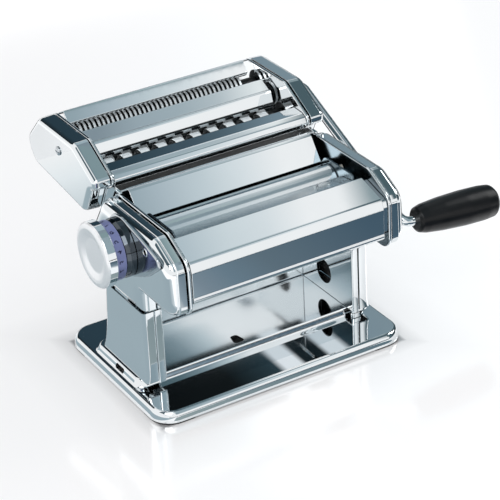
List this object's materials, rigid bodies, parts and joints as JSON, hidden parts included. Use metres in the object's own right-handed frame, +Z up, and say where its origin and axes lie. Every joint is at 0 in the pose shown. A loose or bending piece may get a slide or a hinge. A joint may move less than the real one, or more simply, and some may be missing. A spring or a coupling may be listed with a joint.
{
  "type": "pasta roller machine",
  "caption": "Hand-cranked pasta roller on a polished sheet-metal stand, with a thickness knob, a slide-on noodle cutter and a black-gripped crank.",
  "frame": {"origin": "on the table, under the middle of the bounding box", "axes": "+X along the rollers towards the crank side, +Y from the front edge to the cutter attachment, +Z up"},
  "size_m": [0.3194, 0.2125, 0.17],
  "materials": {
    "polished_steel": "mirror polished stainless steel",
    "steel": "bright plated steel",
    "dark_steel": "machined gear steel",
    "rubber": "matt black rubber",
    "grip_black": "satin black moulded plastic",
    "ring_lavender": "lavender anodised band",
    "nylon": "natural nylon"
  },
  "bodies": {
    "machine": {"base_tray": "polished_steel", "foot_front_left": "rubber", "foot_front_right": "rubber", "foot_rear_left": "rubber", "foot_rear_right": "rubber", "stand_back_panel": "polished_steel", "stand_wall_left": "polished_steel", "stand_wall_right": "polished_steel", "stand_shell_left": "polished_steel", "stand_shell_right": "polished_steel", "side_frame_left": "polished_steel", "side_frame_right": "polished_steel", "side_cover_left": "polished_steel", "side_cover_right": "polished_steel", "front_panel": "polished_steel", "front_guard": "steel", "rear_panel": "polished_steel", "guide_left": "steel", "guide_right": "steel", "rear_bush_left": "nylon", "rear_bush_right": "nylon", "tie_rod_front": "steel", "tie_rod_rear": "steel", "scraper_rear": "steel", "knob_plate": "polished_steel", "knob_collar": "polished_steel"},
    "gap_carriage": {"bearing_block_left": "nylon", "bearing_block_right": "nylon"},
    "front_roller": {"roller_front": "polished_steel", "gear_front": "dark_steel"},
    "rear_roller": {"roller_rear": "polished_steel", "gear_rear": "dark_steel"},
    "knob_spindle": {"knob_shaft": "steel", "knob_spring": "steel"},
    "knob": {"knob_cap": "polished_steel", "number_ring": "ring_lavender"},
    "cutter": {"cutter_frame_left": "polished_steel", "cutter_frame_right": "polished_steel", "cutter_cover_left": "polished_steel", "cutter_cover_right": "polished_steel", "cutter_screw": "steel", "cutter_rear_plate": "polished_steel", "cutter_middle_guide": "polished_steel", "cutter_front_bar": "polished_steel", "cutter_tie_rear": "steel", "cutter_tie_front": "steel", "hook_left": "steel", "hook_right": "steel"},
    "fine_front": {"fine_cutter_front": "steel", "fine_gear_front": "dark_steel"},
    "fine_rear": {"fine_cutter_rear": "steel", "fine_gear_rear": "dark_steel"},
    "wide_front": {"wide_cutter_front": "steel", "wide_gear_front": "dark_steel"},
    "wide_rear": {"wide_cutter_rear": "steel", "wide_gear_rear": "dark_steel"},
    "crank": {"crank_rod": "polished_steel", "grip_cap": "dark_steel"},
    "grip": {"crank_grip": "grip_black"}
  },
  "joints": [
    {"name": "rear_roller_spin", "type": "hinge", "parent": "machine", "child": "rear_roller", "pos_m": [-0.03895, -0.0228, 0.10714], "axis": [1, 0, 0], "continuous": true},
    {"name": "gap_slide", "type": "slide", "parent": "machine", "child": "gap_carriage", "axis": [0, -0.809, 0.5878], "range_m": [0, 0.0024]},
    {"name": "front_roller_spin", "type": "hinge", "parent": "gap_carriage", "child": "front_roller", "pos_m": [-0.03895, -0.0427, 0.1216], "axis": [1, 0, 0], "continuous": true},
    {"name": "knob_turn", "type": "hinge", "parent": "machine", "child": "knob_spindle", "pos_m": [-0.13895, -0.0427, 0.1216], "axis": [1, 0, 0], "range_deg": [0, 180]},
    {"name": "knob_pull", "type": "slide", "parent": "knob_spindle", "child": "knob", "axis": [-1, 0, 0], "range_m": [0, 0.003], "stiffness_N_per_m": 1200},
    {"name": "cutter_lift_off", "type": "slide", "parent": "machine", "child": "cutter", "axis": [0, -0.554, 0.8325], "range_m": [0, 0.04]},
    {"name": "fine_front_spin", "type": "hinge", "parent": "cutter", "child": "fine_front", "pos_m": [-0.03895, 0.06679, 0.1442], "axis": [1, 0, 0], "continuous": true},
    {"name": "fine_rear_spin", "type": "hinge", "parent": "cutter", "child": "fine_rear", "pos_m": [-0.03895, 0.0847, 0.1484], "axis": [1, 0, 0], "continuous": true},
    {"name": "wide_rear_spin", "type": "hinge", "parent": "cutter", "child": "wide_rear", "pos_m": [-0.03895, 0.0486, 0.1354], "axis": [1, 0, 0], "continuous": true},
    {"name": "wide_front_spin", "type": "hinge", "parent": "cutter", "child": "wide_front", "pos_m": [-0.03895, 0.03079, 0.14001], "axis": [1, 0, 0], "continuous": true},
    {"name": "crank_pull_out", "type": "slide", "parent": "fine_front", "child": "crank", "axis": [1, 0, 0], "range_m": [0, 0.02]},
    {"name": "grip_spin", "type": "hinge", "parent": "crank", "child": "grip", "pos_m": [0.07755, -0.0685, 0.0828], "axis": [0.9976, 0, -0.0698], "continuous": true}
  ],
  "couplings": [
    {"joint": "front_roller_spin", "follows": "rear_roller_spin", "ratio": -1},
    {"joint": "knob_turn", "follows": "gap_slide", "rad_per_m": 1308},
    {"joint": "fine_rear_spin", "follows": "fine_front_spin", "ratio": -1},
    {"joint": "wide_front_spin", "follows": "wide_rear_spin", "ratio": -1}
  ]
}
